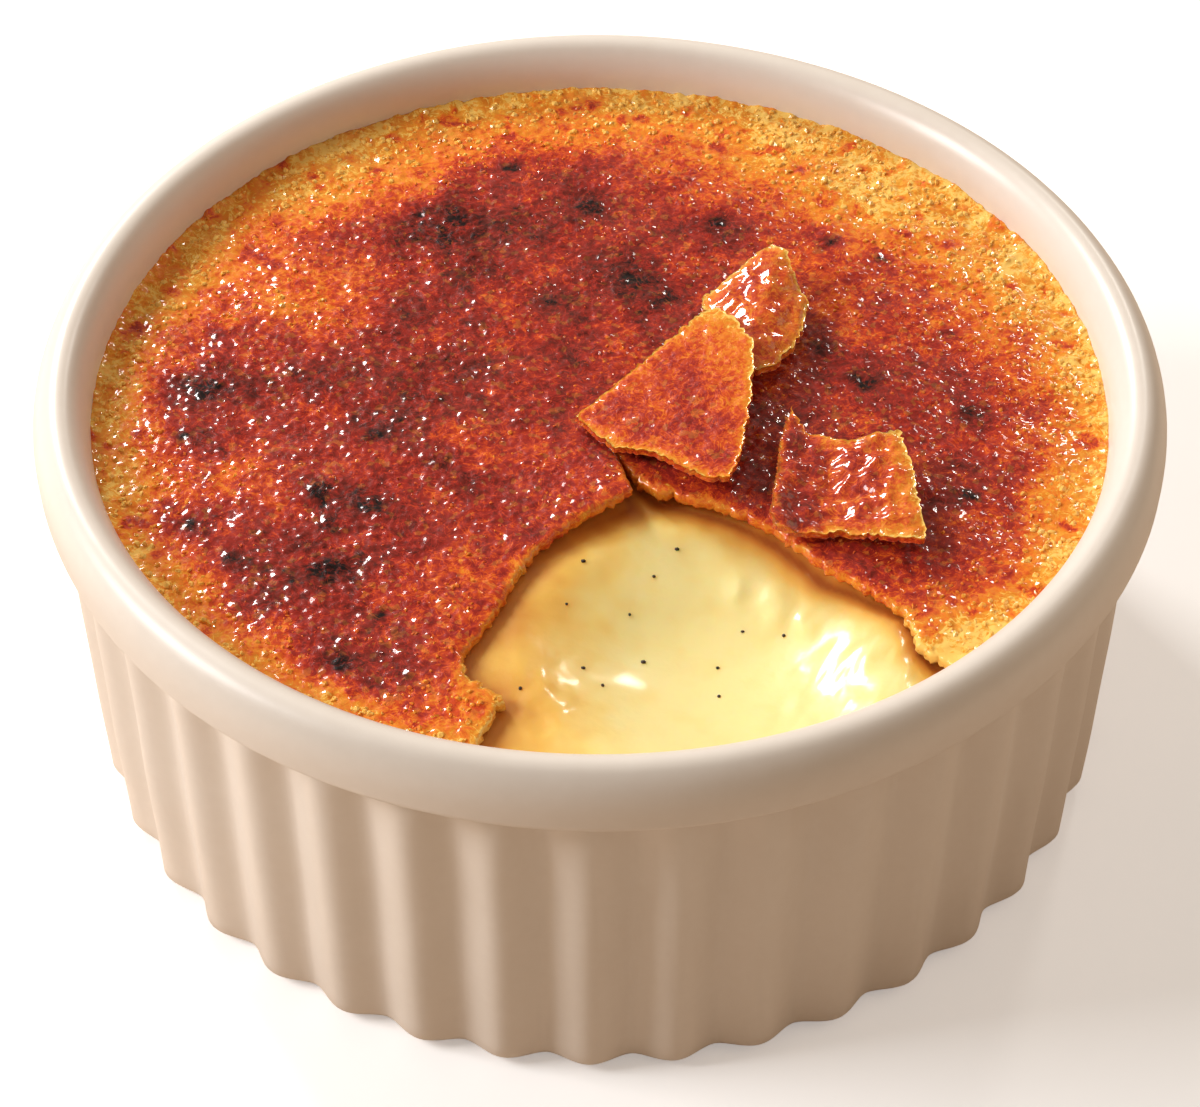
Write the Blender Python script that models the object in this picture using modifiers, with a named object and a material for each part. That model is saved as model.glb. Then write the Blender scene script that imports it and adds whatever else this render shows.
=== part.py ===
"""Creme brulee in its fluted ramekin: the dish, the custard with one spoonful taken out of it,
the sheet of burnt sugar on top, and three shards of that sheet lying where it was cracked.

Metres, +Z up. The origin is the centre of the foot, and -Y is the side the spoon came from.
"""

import math

import bmesh
import bpy
from mathutils import Matrix, Vector, geometry

MM = 0.001
GAP = 0.3 * MM  # between two pieces that touch

# The dish: a stoneware ramekin, turned, with convex flutes pressed round its wall.
RIM_RADIUS = 50.0 * MM
DISH_HEIGHT = 40.4 * MM
LIP_HALF_WIDTH = 2.45 * MM
LIP_DROP = 3.9 * MM  # from the top of the lip down to where its wall is upright
BAND_BOTTOM = 34.8 * MM  # the plain band under the lip ends here, in a small step
BODY_TOP_RADIUS = 48.4 * MM  # at the crest of a flute
BODY_FOOT_RADIUS = 47.8 * MM
FOOT_BEVEL = 1.2 * MM
FOOT_RING_INNER = 38.0 * MM
FOOT_RECESS = 0.9 * MM
INNER_FOOT_RADIUS = 43.6 * MM
INNER_FILLET = 4.5 * MM
FLOOR_THICKNESS = 5.2 * MM

FLUTES = 40
FLUTE_SEGMENTS = 6
FLUTE_DEPTH = 1.2 * MM
FLUTE_CREST_ANGLE = math.radians(-91.1)
FLUTE_END_ROUND = 1.8 * MM  # the flutes round in under the band over this height

# The custard fills the dish up to the burnt sugar.
CRUST_TOP = 35.7 * MM
CRUST_THICKNESS = 1.4 * MM
CUSTARD_TOP = CRUST_TOP - CRUST_THICKNESS - GAP
CUSTARD_SEGMENTS = 72

# The spoonful taken out is an ellipsoid that reaches the wall at the front.
SCOOP_CENTRE = Vector((8.8, -29.0, 36.0)) * MM
SCOOP_RADII = Vector((18.6, 16.6, 9.6)) * MM

# The cracked edge of the sugar round the spoonful, in millimetres, from the wall at the front left,
# up to the corner that sticks out, into the notch behind it, and down to the wall at the right.
CRACK_EDGE = [
    (-10.6, -43.0), (-7.9, -36.8), (-11.2, -32.6), (-8.6, -26.3), (-5.6, -20.2), (0.0, -15.6),
    (3.6, -14.2), (1.4, -8.4), (5.0, -12.2), (10.6, -14.4), (15.6, -17.6), (19.6, -21.8),
    (24.0, -25.4), (26.3, -29.6), (29.0, -33.5),
]
CRUST_GRID = 5.2 * MM
CRUST_OUTER_STEPS = 60

# The corner of the sugar beside the notch was lifted when the spoon broke it.
LIFTED_CORNER = Vector((3.6, -14.2)) * MM
LIFT_HEIGHT = 1.0 * MM
LIFT_REACH = 11.0 * MM

# Three broken pieces of the sugar, in millimetres, seen from above, counter-clockwise.
SHARD_THICKNESS = 1.2 * MM
SHARD_GRID = 2.6 * MM
FRONT_SHARD = [
    (-2.2, -4.6), (1.3, -8.5), (4.4, -10.4), (9.0, -13.5), (10.8, -14.0), (12.2, -12.6),
    (13.5, -8.0), (14.4, 1.8), (12.8, 4.2), (10.4, 6.9), (4.0, 1.6),
]
BACK_SHARD = [
    (9.6, 10.4), (10.4, 4.0), (14.0, 1.4), (16.2, 2.4), (18.0, 5.0), (19.4, 9.4), (19.3, 11.2),
    (17.6, 16.0), (16.4, 16.4),
]
RIGHT_SHARD = [
    (15.7, -7.6), (15.2, -11.4), (14.6, -15.4), (20.4, -18.8), (26.5, -20.6), (27.4, -20.0),
    (27.1, -13.5), (26.6, -8.6), (22.2, -8.0),
]
FRONT_SHARD_TIP = Vector((-2.2, -4.6)) * MM
FRONT_SHARD_SLOPE = Vector((0.155, 0.06))
BACK_FOLD_FOOT = Vector((13.2, 2.0)) * MM
BACK_FOLD_TOP = Vector((17.2, 16.4)) * MM
BACK_FOLD_LIFT = 1.75 * MM
BACK_FOLD_SLOPE = 0.13
BACK_FLAT_SLOPE = 0.36
RIGHT_TROUGH_BACK = Vector((21.2, -8.0)) * MM
RIGHT_TROUGH_SKEW = 0.12
RIGHT_TROUGH_CURVE = 0.036 / MM
RIGHT_SHARD_FRONT = -20.6 * MM
RIGHT_SHARD_SLOPES = (0.06, 0.11)  # left and right of the trough


# ---------------------------------------------------------------- making things


def clear_scene():
    for obj in list(bpy.data.objects):
        bpy.data.objects.remove(obj)


def collection(name):
    made = bpy.data.collections.new(name)
    bpy.context.scene.collection.children.link(made)
    return made


def material(name, colour, roughness):
    made = bpy.data.materials.new(name)
    made.use_nodes = True
    made.diffuse_color = (*colour, 1.0)
    shader = made.node_tree.nodes["Principled BSDF"]
    shader.inputs["Base Color"].default_value = (*colour, 1.0)
    shader.inputs["Roughness"].default_value = roughness
    shader.inputs["Metallic"].default_value = 0.0
    return made


def object_from(name, mesh, finish, into):
    obj = bpy.data.objects.new(name, mesh)
    into.objects.link(obj)
    if finish is not None:
        mesh.materials.clear()
        mesh.materials.append(finish)
    return obj


def evaluated_mesh(obj):
    """The object's mesh with its modifiers applied."""
    bpy.context.view_layer.update()
    graph = bpy.context.evaluated_depsgraph_get()
    return bpy.data.meshes.new_from_object(obj.evaluated_get(graph))


def turned(name, profile, steps, into):
    """A mesh turned round Z from (radius, height) points, which run down the outer side."""
    outline = bpy.data.meshes.new(name + "_profile")
    points = [(radius, 0.0, height) for radius, height in profile]
    edges = [(i, i + 1) for i in range(len(points) - 1)]
    outline.from_pydata(points, edges, [])
    obj = object_from(name + "_profile", outline, None, into)
    screw = obj.modifiers.new("turn", "SCREW")
    screw.axis = "Z"
    screw.steps = steps
    screw.render_steps = steps
    screw.use_merge_vertices = True
    screw.merge_threshold = 0.00001
    mesh = evaluated_mesh(obj)
    bpy.data.objects.remove(obj)
    return mesh


def arc(centre, radii, start, end, steps):
    """Points on an ellipse's arc, angles in degrees, both ends included."""
    found = []
    for step in range(steps + 1):
        angle = math.radians(start + (end - start) * step / steps)
        found.append((centre[0] + radii[0] * math.cos(angle), centre[1] + radii[1] * math.sin(angle)))
    return found


# ---------------------------------------------------------------- the dish


def inside_profile(clearance, top):
    """The inside of the dish from the axis out and up, or what fills it, a clearance further in."""
    fillet = INNER_FILLET - clearance
    foot = INNER_FOOT_RADIUS - clearance
    wall_top = RIM_RADIUS - 2 * LIP_HALF_WIDTH - clearance
    floor = FLOOR_THICKNESS + clearance
    share = (top - floor) / (DISH_HEIGHT - LIP_DROP - floor)
    corner = arc((foot - fillet, floor + fillet), (fillet, fillet), -90, 0, 2)
    return [(0.0, floor), *corner, (foot + (wall_top - foot) * share, top)]


def dish_profile():
    inside = inside_profile(0.0, DISH_HEIGHT - LIP_DROP)[:-1]
    lip_centre = (RIM_RADIUS - LIP_HALF_WIDTH, DISH_HEIGHT - LIP_DROP)
    lip = arc(lip_centre, (LIP_HALF_WIDTH, LIP_DROP), 180, 0, 6)
    outside = [
        (RIM_RADIUS, BAND_BOTTOM),
        (BODY_TOP_RADIUS - FLUTE_DEPTH, BAND_BOTTOM),
        (BODY_TOP_RADIUS, BAND_BOTTOM - FLUTE_END_ROUND),
        (BODY_FOOT_RADIUS, FOOT_BEVEL),
        (BODY_FOOT_RADIUS - FOOT_BEVEL, 0.0),
        (FOOT_RING_INNER, 0.0),
        (FOOT_RING_INNER - FOOT_RECESS, FOOT_RECESS),
        (0.0, FOOT_RECESS),
    ]
    return inside + lip + outside


def flute_dip(angle):
    """How far the wall lies inside the flutes' crests at an angle: none at a crest, most in a crease."""
    turn = (angle - FLUTE_CREST_ANGLE) / (2 * math.pi / FLUTES)
    from_crest = abs(turn - round(turn)) * 2
    return FLUTE_DEPTH * from_crest**2


def press_flutes(mesh):
    """Moves the outer wall below the band inwards between the flutes."""
    for vertex in mesh.vertices:
        radius = math.hypot(vertex.co.x, vertex.co.y)
        outer_wall = BODY_FOOT_RADIUS - FOOT_BEVEL - GAP < radius < BODY_TOP_RADIUS + GAP
        below_band = vertex.co.z < BAND_BOTTOM - GAP
        if outer_wall and below_band:
            angle = math.atan2(vertex.co.y, vertex.co.x)
            pressed = (radius - flute_dip(angle)) / radius
            vertex.co.x *= pressed
            vertex.co.y *= pressed


def make_dish(parts, helpers):
    mesh = turned("ramekin", dish_profile(), FLUTES * FLUTE_SEGMENTS, helpers)
    mesh.transform(Matrix.Rotation(FLUTE_CREST_ANGLE, 4, "Z"))
    press_flutes(mesh)
    mesh.shade_smooth()
    mesh.set_sharp_from_angle(angle=math.radians(40))
    glaze = material("stoneware_glaze", (0.83, 0.76, 0.68), 0.18)
    return object_from("ramekin", mesh, glaze, parts)


# ---------------------------------------------------------------- the custard


def make_custard(parts, helpers):
    profile = inside_profile(GAP, CUSTARD_TOP)
    profile.append((0.0, CUSTARD_TOP))
    # The profile of the filling runs up its outer side, so it is turned round to run down.
    mesh = turned("custard", profile[::-1], CUSTARD_SEGMENTS, helpers)
    obj = object_from("custard", mesh, material("custard_cream", (0.93, 0.76, 0.36), 0.25), parts)

    ball = bmesh.new()
    bmesh.ops.create_uvsphere(ball, u_segments=40, v_segments=20, radius=1.0)
    bmesh.ops.scale(ball, vec=SCOOP_RADII, verts=ball.verts)
    bmesh.ops.translate(ball, vec=SCOOP_CENTRE, verts=ball.verts)
    cutter_mesh = bpy.data.meshes.new("spoon_cutter")
    ball.to_mesh(cutter_mesh)
    ball.free()
    cutter = object_from("spoon_cutter", cutter_mesh, None, helpers)
    cutter.hide_render = True
    cutter.display_type = "WIRE"

    scoop = obj.modifiers.new("spoonful", "BOOLEAN")
    scoop.operation = "DIFFERENCE"
    scoop.object = cutter
    return obj


# ---------------------------------------------------------------- the burnt sugar


def inside_outline(point, outline):
    """True if a point lies inside a closed outline."""
    found = False
    for (x1, y1), (x2, y2) in zip(outline, outline[1:] + outline[:1]):
        if (y1 > point[1]) != (y2 > point[1]):
            if point[0] < x1 + (point[1] - y1) * (x2 - x1) / (y2 - y1):
                found = not found
    return found


def distance_to_outline(point, outline):
    nearest = math.inf
    for start, end in zip(outline, outline[1:] + outline[:1]):
        on_edge, share = geometry.intersect_point_line(
            Vector((*point, 0.0)), Vector((*start, 0.0)), Vector((*end, 0.0))
        )
        share = min(1.0, max(0.0, share))
        on_edge = Vector(start).lerp(Vector(end), share)
        nearest = min(nearest, (Vector(point) - on_edge).length)
    return nearest


def plate(name, outline, grid, height, thickness, finish, into):
    """A sheet of sugar from its outline: its underside follows height(x, y), and it is solid above that."""
    points = [Vector(p) for p in outline]
    low = [min(p[i] for p in outline) for i in range(2)]
    high = [max(p[i] for p in outline) for i in range(2)]
    for row in range(int((high[1] - low[1]) / grid) + 1):
        for column in range(int((high[0] - low[0]) / grid) + 1):
            offset = 0.5 * (row % 2)
            point = (low[0] + (column + offset) * grid, low[1] + (row + 0.5) * grid)
            if inside_outline(point, outline) and distance_to_outline(point, outline) > 0.45 * grid:
                points.append(Vector(point))
    border = [(i, (i + 1) % len(outline)) for i in range(len(outline))]
    made = geometry.delaunay_2d_cdt(points, border, [], 1, 0.00001)
    mesh = bpy.data.meshes.new(name)
    mesh.from_pydata([(p.x, p.y, height(p.x, p.y)) for p in made[0]], [], [list(f) for f in made[2]])
    obj = object_from(name, mesh, finish, into)
    skin = obj.modifiers.new("thickness", "SOLIDIFY")
    skin.thickness = thickness
    skin.offset = 1.0
    return obj


def crust_outline():
    """The sheet's outline: the cracked edge, then the wall of the dish, counter-clockwise from its right end."""
    share = (CRUST_TOP - FLOOR_THICKNESS) / (DISH_HEIGHT - LIP_DROP - FLOOR_THICKNESS)
    wall_top = RIM_RADIUS - 2 * LIP_HALF_WIDTH
    radius = INNER_FOOT_RADIUS + (wall_top - INNER_FOOT_RADIUS) * share - 2 * GAP
    crack = [(x * MM, y * MM) for x, y in CRACK_EDGE]
    start = math.atan2(crack[-1][1], crack[-1][0])
    end = math.atan2(crack[0][1], crack[0][0]) + 2 * math.pi
    wall = []
    for step in range(CRUST_OUTER_STEPS + 1):
        angle = start + (end - start) * step / CRUST_OUTER_STEPS
        wall.append((radius * math.cos(angle), radius * math.sin(angle)))
    return wall + crack[1:-1]


def crust_height(x, y):
    away = math.hypot(x - LIFTED_CORNER.x, y - LIFTED_CORNER.y)
    on_the_left = 1.0 if x < 4.2 * MM and y < -8.2 * MM else 0.0
    lift = LIFT_HEIGHT * max(0.0, 1.0 - away / LIFT_REACH) * on_the_left
    return CRUST_TOP - CRUST_THICKNESS + lift


def make_crust(parts, sugar):
    return plate(
        "caramel_crust", crust_outline(), CRUST_GRID, crust_height, CRUST_THICKNESS, sugar, parts
    )


# ---------------------------------------------------------------- the shards


def front_shard_height(x, y):
    """Leans up from its left tip, which touches the crust, on to the fold of the back shard."""
    from_tip = Vector((x, y)) - FRONT_SHARD_TIP
    return CRUST_TOP + 2 * GAP + FRONT_SHARD_SLOPE.dot(from_tip)


def back_shard_height(x, y):
    """A bent piece: two flats that fall away on either side of a fold that climbs to the back."""
    along = (BACK_FOLD_TOP - BACK_FOLD_FOOT).normalized()
    from_foot = Vector((x, y)) - BACK_FOLD_FOOT
    climb = BACK_FOLD_SLOPE * from_foot.dot(along)
    from_fold = abs(from_foot.cross(along))
    return CRUST_TOP + max(GAP, BACK_FOLD_LIFT + climb - BACK_FLAT_SLOPE * from_fold)


def right_shard_height(x, y):
    """A curled piece: a trough that runs to the back, and climbs most at the back right corner."""
    from_middle = Vector((x, y)) - RIGHT_TROUGH_BACK
    across = from_middle.x + RIGHT_TROUGH_SKEW * from_middle.y
    slope = RIGHT_SHARD_SLOPES[1] if across > 0 else RIGHT_SHARD_SLOPES[0]
    climb = slope * max(0.0, y - RIGHT_SHARD_FRONT)
    return CRUST_TOP + GAP + RIGHT_TROUGH_CURVE * across**2 + climb


def make_shards(parts, sugar):
    shapes = (
        ("shard_front", FRONT_SHARD, front_shard_height),
        ("shard_back", BACK_SHARD, back_shard_height),
        ("shard_right", RIGHT_SHARD, right_shard_height),
    )
    for name, outline, height in shapes:
        scaled = [(x * MM, y * MM) for x, y in outline]
        plate(name, scaled, SHARD_GRID, height, SHARD_THICKNESS, sugar, parts)


def main():
    clear_scene()
    parts = collection("creme_brulee")
    helpers = collection("cutters")
    make_dish(parts, helpers)
    make_custard(parts, helpers)
    sugar = material("burnt_sugar", (0.52, 0.16, 0.03), 0.22)
    make_crust(parts, sugar)
    make_shards(parts, sugar)


main()
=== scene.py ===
import math

import bmesh
import bpy
import numpy as np
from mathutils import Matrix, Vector, geometry, noise


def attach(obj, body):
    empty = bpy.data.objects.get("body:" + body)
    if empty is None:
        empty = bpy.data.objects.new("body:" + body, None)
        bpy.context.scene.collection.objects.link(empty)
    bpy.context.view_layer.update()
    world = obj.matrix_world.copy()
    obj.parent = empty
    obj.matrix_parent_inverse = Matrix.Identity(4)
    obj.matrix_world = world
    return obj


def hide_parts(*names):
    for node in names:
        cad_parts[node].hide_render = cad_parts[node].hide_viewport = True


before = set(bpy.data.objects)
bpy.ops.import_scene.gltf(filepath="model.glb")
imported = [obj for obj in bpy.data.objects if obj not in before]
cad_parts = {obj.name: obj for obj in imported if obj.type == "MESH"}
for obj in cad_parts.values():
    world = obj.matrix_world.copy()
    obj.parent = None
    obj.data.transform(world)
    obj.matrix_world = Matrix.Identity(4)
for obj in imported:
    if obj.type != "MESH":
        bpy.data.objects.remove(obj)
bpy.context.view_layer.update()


# ------------------------------------------------------------------ ramekin
# The dish is a stoneware ramekin, cast with convex flutes and dipped in ivory glaze, with only the
# flat of its foot wiped bare. It is one turned wall, closed inside and out, whose outer side swells
# into the flutes, and whose lip is rolled over a plain band.

MM = 0.001

rim_radius = 50.0
rim_height = 40.4
lip_half_width = 2.45
lip_drop = 3.9
band_foot = 34.8
wall_inside_top = 45.1
wall_inside_foot = 43.6
wall_taper_top = 30.0
inside_corner = 4.5
innermost_ring = 2.0
floor_height = 5.2
crease_radius_top = 47.05
crease_radius_foot = 46.6
crease_round = 0.4
band_round = 0.5
flute_count = 40
steps_per_flute = 16
flute_swell = 1.35
flute_roundness = 0.85
flute_dome = 4.2
flute_dome_foot = band_foot - 6.6
flute_crest = math.radians(-91.1)
foot_share = 0.65  # of the flutes' swell is left at the very foot
foot_bevel = 1.3
foot_ring_inside = 38.0
foot_recess = 0.9


def arc(centre, radii, first, last, steps):
    """Points on an ellipse's arc, angles in degrees, both ends included."""
    turns = np.radians(np.linspace(first, last, steps + 1))
    return [(centre[0] + radii[0] * math.cos(a), centre[1] + radii[1] * math.sin(a)) for a in turns]


def straight(start, end, steps):
    """Points from start towards end, without the end itself."""
    shares = np.arange(steps) / steps
    return [(start[0] + (end[0] - start[0]) * s, start[1] + (end[1] - start[1]) * s) for s in shares]


def mesh_piece(name, points, faces, smooth=True):
    """An object from points in millimetres, whose place is in its mesh."""
    mesh = bpy.data.meshes.new(name)
    mesh.from_pydata((np.asarray(points, float) * MM).tolist(), [], faces)
    mesh.validate()
    if smooth:
        mesh.shade_smooth()
    piece = bpy.data.objects.new(name, mesh)
    bpy.context.scene.collection.objects.link(piece)
    return piece


def turned_faces(rings, steps):
    """Quads between rings of points numbered ring by ring."""
    faces = []
    for ring in range(rings - 1):
        for step in range(steps):
            after = (step + 1) % steps
            a, b = ring * steps + step, ring * steps + after
            faces.append((a, b, b + steps, a + steps))
    return faces


# The wall's outline as (radius, height), from the middle of the floor inside, over the lip, and back
# under the dish.
corner_foot = wall_inside_foot - inside_corner
corner_top = floor_height + inside_corner
lip_foot = rim_height - lip_drop
taper_top = (wall_inside_top - 0.3, wall_taper_top)
inside_wall = (
    straight((innermost_ring, floor_height), (corner_foot, floor_height), 6)
    + arc((corner_foot, corner_top), (inside_corner, inside_corner), -90, 0, 6)
    + straight((wall_inside_foot + 0.05, floor_height + 5.0), taper_top, 4)
    + straight(taper_top, (wall_inside_top, lip_foot), 8)
)
lip = arc((rim_radius - lip_half_width, lip_foot), (lip_half_width, lip_drop), 180, 0, 22)
crease_middle = crease_radius_top + crease_round
band = (
    straight((rim_radius, lip_foot - 0.3), (rim_radius, band_foot + band_round), 3)
    + arc((rim_radius - band_round, band_foot + band_round), (band_round, band_round), 0, -90, 4)
    + straight((rim_radius - 2 * band_round, band_foot), (crease_middle, band_foot), 2)
    + arc((crease_middle, band_foot - crease_round), (crease_round, crease_round), 90, 180, 3)
)
dome_foot = (crease_radius_top - 0.1, flute_dome_foot)
fluted = straight((crease_radius_top, band_foot - 0.6), dome_foot, 15)
fluted += straight(dome_foot, (crease_radius_foot, foot_bevel), 20)
fluted += arc((crease_radius_foot - foot_bevel, foot_bevel), (foot_bevel, foot_bevel), 0, -90, 6)
underside = [
    (foot_ring_inside + 3.5, 0.0),
    (foot_ring_inside + 0.3, 0.0),
    (foot_ring_inside - 0.3, 0.15),
    (foot_ring_inside - 1.0, foot_recess - 0.15),
    (foot_ring_inside - 1.7, foot_recess),
    (20.0, foot_recess),
    (innermost_ring, foot_recess),
]
dish_profile = np.array(inside_wall + lip + band + fluted + underside)
flute_rows = range(len(inside_wall + lip + band), len(inside_wall + lip + band + fluted))

dish_steps = flute_count * steps_per_flute
turn = np.arange(dish_steps) * 2 * math.pi / dish_steps
from_crest = (turn - flute_crest) / (2 * math.pi / flute_count)
lobe = (0.5 + 0.5 * np.cos(2 * math.pi * from_crest)) ** flute_roundness
dish_points = []
for row, (radius, height) in enumerate(dish_profile):
    radii = np.full(dish_steps, radius)
    if row in flute_rows:
        under_band = min(1.0, (band_foot - height) / flute_dome)
        dome = math.sqrt(max(0.0, 1.0 - (1.0 - under_band) ** 2))
        at_foot = min(1.0, max(0.0, height / foot_bevel)) * (1.0 - foot_share) + foot_share
        radii = radii + flute_swell * dome * at_foot * lobe
    # A cast wall is never quite true: it waves by a few hundredths of a millimetre.
    wave = 0.05 * np.sin(3 * turn + 0.21 * height) + 0.03 * np.sin(7 * turn - 0.4 * height)
    radii = radii + (wave if radius > 30 and height > 0.5 else 0.0)
    dish_points += [(r * math.cos(a), r * math.sin(a), height) for r, a in zip(radii, turn)]
rings = len(dish_profile)
dish_faces = turned_faces(rings, dish_steps)
dish_faces.append(tuple(range(dish_steps))[::-1])
last_ring = (rings - 1) * dish_steps
dish_faces.append(tuple(range(last_ring, last_ring + dish_steps)))
ramekin = mesh_piece("ramekin_glazed", dish_points, dish_faces)
made = bmesh.new()
made.from_mesh(ramekin.data)
bmesh.ops.recalc_face_normals(made, faces=made.faces)
made.to_mesh(ramekin.data)
made.free()


def new_material(name, **sockets):
    """(material, tree, shader), with the values that are the same all over set on the shader."""
    made = bpy.data.materials.new(name)
    made.use_nodes = True
    shader = made.node_tree.nodes["Principled BSDF"]
    for socket, value in sockets.items():
        shader.inputs[socket.replace("_", " ")].default_value = value
    return made, made.node_tree, shader


def add_node(tree, kind, inputs=None, **settings):
    """A node with its settings and inputs; an input is a value, or an output to link."""
    made = tree.nodes.new(kind)
    for setting, value in settings.items():
        setattr(made, setting, value)
    for socket, value in (inputs or {}).items():
        if isinstance(value, bpy.types.NodeSocket):
            tree.links.new(value, made.inputs[socket])
        else:
            made.inputs[socket].default_value = value
    return made


def maths(tree, operation, first, second=None, clamp=False):
    """A Math node's result from values or outputs."""
    inputs = {0: first} if second is None else {0: first, 1: second}
    return add_node(tree, "ShaderNodeMath", inputs, operation=operation, use_clamp=clamp).outputs[0]


def blend_colours(tree, share, first, second, blend="MIX"):
    """Mixes two colours by a share."""
    made = add_node(tree, "ShaderNodeMix", {"Factor": share}, data_type="RGBA", blend_type=blend)
    for socket, value in ((6, first), (7, second)):
        if isinstance(value, bpy.types.NodeSocket):
            tree.links.new(value, made.inputs[socket])
        else:
            made.inputs[socket].default_value = (*value, 1.0)
    return made.outputs[2]


def remap(tree, value, source, target):
    """A value taken from one range to another, each range as (low, high)."""
    inputs = {"Value": value, "From Min": source[0], "From Max": source[1]}
    inputs.update({"To Min": target[0], "To Max": target[1]})
    return add_node(tree, "ShaderNodeMapRange", inputs).outputs["Result"]


def bump(tree, height, strength, distance):
    """The normal of a Bump node over this height; the distance is in metres."""
    inputs = {"Strength": strength, "Distance": distance, "Height": height}
    return add_node(tree, "ShaderNodeBump", inputs).outputs["Normal"]


def ramp(tree, value, stops):
    """A colour ramp with (position, colour) stops."""
    made = add_node(tree, "ShaderNodeValToRGB", {"Fac": value})
    points = made.color_ramp.elements
    while len(points) < len(stops):
        points.new(0.5)
    for point, (position, colour) in zip(points, stops):
        point.position = position
        point.color = (*colour, 1.0)
    return made.outputs["Color"]


def noise_on(tree, place, scale, detail=2.0, roughness=0.5, distortion=0.0):
    """A Noise Texture's value; scale is in waves per metre."""
    inputs = {"Vector": place, "Scale": scale, "Detail": detail, "Roughness": roughness}
    inputs["Distortion"] = distortion
    return add_node(tree, "ShaderNodeTexNoise", inputs).outputs["Fac"]


ivory, tree, shader = new_material("ivory_glaze", IOR=1.5)
place = add_node(tree, "ShaderNodeTexCoord").outputs["Object"]
clouds = noise_on(tree, place, 45.0, 2.0)
specks = noise_on(tree, place, 900.0, 2.0)
low = add_node(tree, "ShaderNodeSeparateXYZ", {0: place}).outputs["Z"]
glaze_colour = ramp(tree, clouds, [(0.2, (0.80, 0.725, 0.64)), (0.8, (0.85, 0.78, 0.70))])
speckled = maths(tree, "MULTIPLY", specks, 0.10)
glaze_colour = blend_colours(tree, speckled, glaze_colour, (0.70, 0.58, 0.46), "MULTIPLY")
glaze_ends_at = 0.25 * MM
bare_clay = maths(tree, "LESS_THAN", low, glaze_ends_at)
shade = blend_colours(tree, bare_clay, glaze_colour, (0.78, 0.70, 0.61))
tree.links.new(shade, shader.inputs["Base Color"])
gloss = remap(tree, clouds, (0.0, 1.0), (0.26, 0.40))
gloss = maths(tree, "ADD", gloss, maths(tree, "MULTIPLY", bare_clay, 0.5))
tree.links.new(gloss, shader.inputs["Roughness"])
dimples = bump(tree, noise_on(tree, place, 330.0, 0.0), 0.10, 0.3 * MM)
tree.links.new(dimples, shader.inputs["Normal"])
ramekin.data.materials.append(ivory)
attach(ramekin, "root")
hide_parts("ramekin")


# ------------------------------------------------------------------ custard
# Baked custard fills the dish to the sugar. A spoon took one mouthful at the front and left a shallow
# wet hollow, softly ridged on its left, streaked and lumpy on its right, with syrup round its edge
# and painted shade under the broken sugar and down the hollow's left side.
# The top is a sheet of triangles, fine where it shows, and the sides follow the inside of the dish.

crust_top = 35.7
crust_thickness = 1.4
custard_top = crust_top - crust_thickness
custard_radius = 44.95
custard_fine_step = 0.42
custard_coarse_step = 3.0
# The filling's side below its top, as (radius, height).
filling_side = [(44.9, 30.5), (43.7, 12.0), (43.3, 9.0), (42.0, 6.7), (38.5, floor_height + 0.05)]

hollow_centre = (9.0, -29.5)
hollow_radii = (15.8, 14.2)
hollow_depth = 3.2
ridge_height = 0.10
shoulder_height = 1.1
streaks_at = (21.0, -34.0)
wrinkles_at = (-4.6, -36.5)
# Small mounds by the sugar at the back right: place, half width, height.
mounds = [(14.8, -23.4, 1.2, 0.46), (11.6, -21.6, 0.8, 0.30), (17.2, -25.8, 0.9, 0.34)]

# The crack in the sugar: its left side up to the corner that sticks out, the notch, its right side.
crack_left = [
    (-11.0, -46.0), (-9.8, -41.0), (-7.9, -36.6), (-11.1, -33.8), (-11.4, -31.6), (-9.8, -29.1),
    (-8.4, -26.1), (-7.3, -23.2), (-5.5, -19.8), (-3.1, -17.2), (0.1, -15.0), (2.8, -13.1),
]
crack_notch = [(1.9, -9.6), (1.1, -7.2), (3.0, -10.6)]
crack_right = [
    (4.8, -12.3), (7.3, -13.1), (10.4, -14.2), (12.8, -15.6), (15.2, -17.4), (17.3, -19.6),
    (19.0, -21.7), (21.1, -23.0), (23.4, -25.0), (25.1, -26.6), (25.9, -28.9), (26.1, -30.8),
    (28.5, -32.8), (34.0, -38.0),
]


def broken_line(corners, step, roughness, seed):
    """A line through corners, with points about a step apart, nudged sideways at random."""
    draw = np.random.default_rng(seed)
    found = []
    for start, end in zip(corners, corners[1:]):
        start, end = np.array(start, float), np.array(end, float)
        length = np.linalg.norm(end - start)
        count = max(1, round(length / step))
        aside = np.array([start[1] - end[1], end[0] - start[0]]) / max(length, 1e-9)
        for k in range(count):
            nudge = 0.0 if k == 0 else draw.normal(0.0, roughness)
            found.append(start + (end - start) * k / count + aside * nudge)
    found.append(np.array(corners[-1], float))
    return np.array(found)


def edge_distance(points, line, closed=False):
    """How far each point lies from a line of points."""
    starts, ends = (line, np.roll(line, -1, axis=0)) if closed else (line[:-1], line[1:])
    nearest = np.full(len(points), np.inf)
    for start, end in zip(starts, ends):
        along = end - start
        share = ((points - start) @ along) / max(along @ along, 1e-12)
        gap = points - start - np.clip(share, 0.0, 1.0)[:, None] * along
        nearest = np.minimum(nearest, np.hypot(gap[:, 0], gap[:, 1]))
    return nearest


def inside_outline(points, outline):
    """True for each point inside a closed outline."""
    found = np.zeros(len(points), bool)
    x, y = points[:, 0], points[:, 1]
    for (x1, y1), (x2, y2) in zip(outline, np.roll(outline, -1, axis=0)):
        if y1 != y2:
            crosses = (y1 > y) != (y2 > y)
            found ^= crosses & (x < x1 + (y - y1) * (x2 - x1) / (y2 - y1))
    return found


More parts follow.
